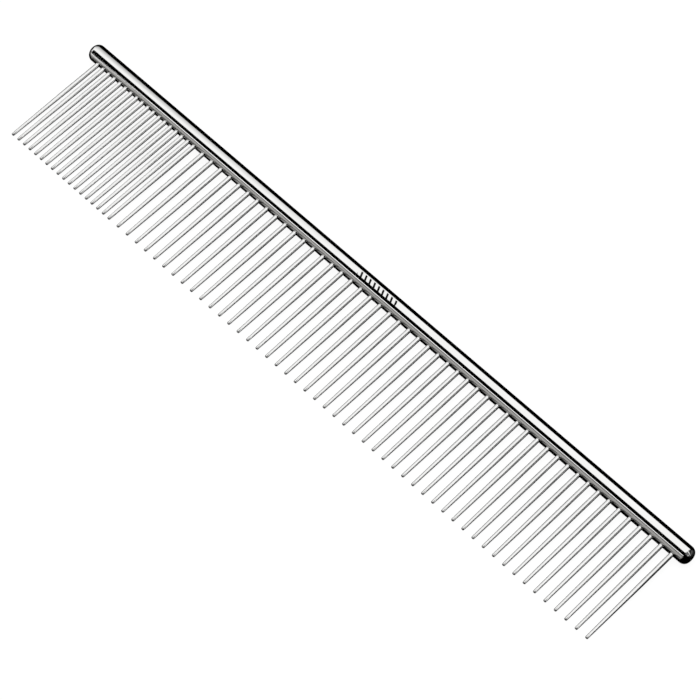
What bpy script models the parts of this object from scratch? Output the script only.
"""Steel grooming comb: a solid round bar with one row of press-fitted round pins.

The pins at the -X end are set close together and the others further apart. The comb lies at rest on a
level surface, on the underside of its bar and on the tips of its pins. Units are metres. The origin is
the middle of the comb's footprint, +X runs along the bar and +Z is up.
"""

from math import asin, atan2, cos, hypot, pi, radians, sin

import bmesh
import bpy

COMB_NAME = "steel_grooming_comb"
MM = 0.001

# The bar
BAR_LENGTH = 254.0 * MM
BAR_RADIUS = 3.0 * MM
BAR_END_ROUND = 2.2 * MM
BAR_SIDES = 32
END_ROUND_STEPS = 5

# The row of pins
FINE_COUNT = 18
COARSE_COUNT = 49
FINE_PITCH = 2.58 * MM
COARSE_PITCH = 4.075 * MM
FINE_END_MARGIN = 5.35 * MM

# One pin: straight from its root, then tapering to a blunt tip with a rounded rim
PIN_RADIUS = 0.75 * MM
PIN_TIP_RADIUS = 0.5 * MM
PIN_TIP_ROUND = 0.3 * MM
PIN_REACH = 39.5 * MM
PIN_STRAIGHT_REACH = 16.0 * MM
PIN_ROOT_DEPTH = 1.5 * MM
PIN_SIDES = 12
TIP_ROUND_STEPS = 2

# The last coarse pins are made two by two as one bent wire, whose bend lies inside the bar
HAIRPIN_COUNT = 8
HAIRPIN_BEND_START = -0.7 * MM
HAIRPIN_BEND_STEPS = 6
HAIRPIN_BEVEL_RESOLUTION = 4

# Holes in the bar
HOLE_GAP = 0.3 * MM
HOLE_OVERSHOOT = 1.0 * MM
WELD_DISTANCE = 0.001 * MM

# What follows from the driving dimensions
FIRST_PIN_X = FINE_END_MARGIN - BAR_LENGTH / 2
SINGLE_COARSE_COUNT = COARSE_COUNT - 2 * HAIRPIN_COUNT
TIP_DISC = PIN_TIP_RADIUS - PIN_TIP_ROUND
RIM_REACH = PIN_REACH - PIN_TIP_ROUND
REST_TILT = asin((BAR_RADIUS - PIN_TIP_ROUND) / hypot(RIM_REACH, TIP_DISC)) - atan2(TIP_DISC, RIM_REACH)
FRONT_Y = -RIM_REACH * cos(REST_TILT) - TIP_DISC * sin(REST_TILT) - PIN_TIP_ROUND
BAR_CENTRE_Y = -(BAR_RADIUS + FRONT_Y) / 2


def clear_scene():
    for obj in list(bpy.data.objects):
        bpy.data.objects.remove(obj, do_unlink=True)


def new_collection(name, hidden=False):
    collection = bpy.data.collections.new(name)
    collection.hide_render = hidden
    bpy.context.scene.collection.children.link(collection)
    return collection


def steel(name, colour, roughness):
    material = bpy.data.materials.new(name)
    material.use_nodes = True
    shader = material.node_tree.nodes["Principled BSDF"]
    shader.inputs["Base Color"].default_value = (*colour, 1.0)
    shader.inputs["Metallic"].default_value = 1.0
    shader.inputs["Roughness"].default_value = roughness
    return material


def add_object(name, mesh, collection, parent):
    obj = bpy.data.objects.new(name, mesh)
    collection.objects.link(obj)
    obj.parent = parent
    return obj


def add_cutter(name, mesh, collection, parent):
    cutter = add_object(name, mesh, collection, parent)
    cutter.hide_render = True
    cutter.display_type = "WIRE"
    return cutter


def profile_mesh(name, points):
    """An open chain of edges through the (radius, height) points, in the XZ plane."""
    mesh = bpy.data.meshes.new(name)
    edges = [(i, i + 1) for i in range(len(points) - 1)]
    mesh.from_pydata([(radius, 0.0, height) for radius, height in points], edges, [])
    return mesh


def turn(obj, sides):
    """Turn the object's profile round its own Z axis into a closed solid."""
    screw = obj.modifiers.new("turn", "SCREW")
    screw.axis = "Z"
    screw.angle = 2 * pi
    screw.steps = sides
    screw.render_steps = sides
    screw.use_merge_vertices = True
    screw.merge_threshold = WELD_DISTANCE
    screw.use_smooth_shade = True


def arc(centre_height, radius, start, end, steps, centre_radius=0.0):
    """(radius, height) points on an arc, from the start angle to the end angle in degrees."""
    points = []
    for step in range(steps + 1):
        angle = radians(start + (end - start) * step / steps)
        points.append((centre_radius + radius * cos(angle), centre_height + radius * sin(angle)))
    return points


def bar_profile():
    """The bar's outline from the middle of one end disc to the middle of the other."""
    half = BAR_LENGTH / 2
    disc = BAR_RADIUS - BAR_END_ROUND
    upper = arc(half - BAR_END_ROUND, BAR_END_ROUND, 90, 0, END_ROUND_STEPS, disc)
    lower = arc(BAR_END_ROUND - half, BAR_END_ROUND, 0, -90, END_ROUND_STEPS, disc)
    return [(0.0, half), *upper, *lower, (0.0, -half)]


def pin_profile():
    """The pin's outline from the middle of its root, down its outer side, to the end of its tip."""
    shaft = [(PIN_RADIUS, PIN_ROOT_DEPTH), (PIN_RADIUS, -PIN_STRAIGHT_REACH)]
    tip = arc(-RIM_REACH, PIN_TIP_ROUND, 0, -90, TIP_ROUND_STEPS, TIP_DISC)
    return [(0.0, PIN_ROOT_DEPTH), *shaft, *tip, (0.0, -PIN_REACH)]


def drill_profile():
    """A pin's blind hole: the pin's root with a gap round it, run out past the bar's surface."""
    radius = PIN_RADIUS + HOLE_GAP
    top = PIN_ROOT_DEPTH + HOLE_GAP
    bottom = -(BAR_RADIUS + HOLE_OVERSHOOT)
    return [(0.0, top), (radius, top), (radius, bottom), (0.0, bottom)]


def place_in_row(obj, x):
    """Stand a turned pin or drill in the row: its own +Z points from the pin's tip to its root."""
    obj.location = (x, 0.0, 0.0)
    obj.rotation_euler = (-pi / 2, 0.0, 0.0)


def welded_mesh(curve, name):
    """The closed mesh of a bevelled curve, with its loose end caps welded on."""
    guide = bpy.data.objects.new(name, curve)
    bpy.context.scene.collection.objects.link(guide)
    graph = bpy.context.evaluated_depsgraph_get()
    mesh = bpy.data.meshes.new_from_object(guide.evaluated_get(graph))
    bpy.data.objects.remove(guide, do_unlink=True)
    welder = bmesh.new()
    welder.from_mesh(mesh)
    bmesh.ops.remove_doubles(welder, verts=welder.verts, dist=WELD_DISTANCE)
    bmesh.ops.recalc_face_normals(welder, faces=welder.faces)
    welder.to_mesh(mesh)
    welder.free()
    mesh.name = name
    mesh.shade_smooth()
    mesh.set_sharp_from_angle(angle=radians(60))
    return mesh


def hairpin_mesh(name, leg, bend_radius):
    """One wire bent through a half turn. leg holds (y, radius) from its free end to the bend."""
    half_pitch = COARSE_PITCH / 2
    points = [(half_pitch, y, radius) for y, radius in leg]
    for step in range(1, HAIRPIN_BEND_STEPS):
        angle = pi * step / HAIRPIN_BEND_STEPS
        y = HAIRPIN_BEND_START + half_pitch * sin(angle)
        points.append((half_pitch * cos(angle), y, bend_radius))
    points += [(-half_pitch, y, radius) for y, radius in reversed(leg)]

    curve = bpy.data.curves.new(name, "CURVE")
    curve.dimensions = "3D"
    curve.bevel_depth = 1.0
    curve.bevel_resolution = HAIRPIN_BEVEL_RESOLUTION
    curve.use_fill_caps = True
    spline = curve.splines.new("POLY")
    spline.points.add(len(points) - 1)
    for point, (x, y, radius) in zip(spline.points, points):
        point.co = (x, y, 0.0, 1.0)
        point.radius = radius
    return welded_mesh(curve, name)


def hairpin_pin_mesh():
    tip = arc(-RIM_REACH, PIN_TIP_ROUND, -90, 0, TIP_ROUND_STEPS, TIP_DISC)
    leg = [(height, radius) for radius, height in tip]
    leg.append((-PIN_STRAIGHT_REACH, PIN_RADIUS))
    leg.append((HAIRPIN_BEND_START, PIN_RADIUS))
    return hairpin_mesh("hairpin", leg, PIN_RADIUS)


def hairpin_pocket_mesh():
    radius = PIN_RADIUS + HOLE_GAP
    leg = [(-(BAR_RADIUS + HOLE_OVERSHOOT), radius), (HAIRPIN_BEND_START, radius)]
    return hairpin_mesh("hairpin_pocket", leg, radius)


def add_single_pins(names_and_places, material, parts, cutters, parent):
    pin = profile_mesh("pin_profile", pin_profile())
    pin.materials.append(material)
    drill = profile_mesh("drill_profile", drill_profile())
    for name, x in names_and_places:
        solid = add_object(name, pin, parts, parent)
        hole = add_cutter(f"hole_for_{name}", drill, cutters, parent)
        for obj in (solid, hole):
            turn(obj, PIN_SIDES)
            place_in_row(obj, x)


def add_hairpins(first_number, first_x, material, parts, cutters, parent):
    """Coarse pins two by two, numbered on from the single ones."""
    pair = hairpin_pin_mesh()
    pair.materials.append(material)
    pocket = hairpin_pocket_mesh()
    for i in range(HAIRPIN_COUNT):
        number = first_number + 2 * i
        name = f"coarse_pin_pair_{number:02d}_{number + 1:02d}"
        x = first_x + (2 * i + 0.5) * COARSE_PITCH
        add_object(name, pair, parts, parent).location = (x, 0.0, 0.0)
        add_cutter(f"pocket_for_{name}", pocket, cutters, parent).location = (x, 0.0, 0.0)


def add_bar(material, parts, cutters, parent):
    profile = profile_mesh("bar_profile", bar_profile())
    profile.materials.append(material)
    bar = add_object("spine_bar", profile, parts, parent)
    bar.rotation_euler = (0.0, pi / 2, 0.0)
    turn(bar, BAR_SIDES)
    holes = bar.modifiers.new("pin_holes", "BOOLEAN")
    holes.operation = "DIFFERENCE"
    holes.solver = "EXACT"
    holes.operand_type = "COLLECTION"
    holes.collection = cutters


def add_rest_frame(collection):
    """The comb's own frame: the bar's axis is X, the pins point along -Y and dip towards the surface."""
    frame = bpy.data.objects.new("comb_at_rest", None)
    collection.objects.link(frame)
    frame.location = (0.0, BAR_CENTRE_Y, BAR_RADIUS)
    frame.rotation_euler = (REST_TILT, 0.0, 0.0)
    return frame


def main():
    clear_scene()
    parts = new_collection(COMB_NAME)
    cutters = new_collection("cutters", hidden=True)
    frame = add_rest_frame(parts)

    fine_steel = steel("fine_pin_steel", (0.78, 0.78, 0.77), 0.16)
    coarse_steel = steel("coarse_pin_steel", (0.78, 0.78, 0.77), 0.16)
    bar_steel = steel("polished_bar_steel", (0.82, 0.82, 0.81), 0.05)

    last_fine_x = FIRST_PIN_X + (FINE_COUNT - 1) * FINE_PITCH
    fine = [(f"fine_pin_{i + 1:02d}", FIRST_PIN_X + i * FINE_PITCH) for i in range(FINE_COUNT)]
    coarse = []
    for number in range(1, SINGLE_COARSE_COUNT + 1):
        coarse.append((f"coarse_pin_{number:02d}", last_fine_x + number * COARSE_PITCH))
    first_pair = SINGLE_COARSE_COUNT + 1
    first_pair_x = last_fine_x + first_pair * COARSE_PITCH

    add_single_pins(fine, fine_steel, parts, cutters, frame)
    add_single_pins(coarse, coarse_steel, parts, cutters, frame)
    add_hairpins(first_pair, first_pair_x, coarse_steel, parts, cutters, frame)
    add_bar(bar_steel, parts, cutters, frame)


main()
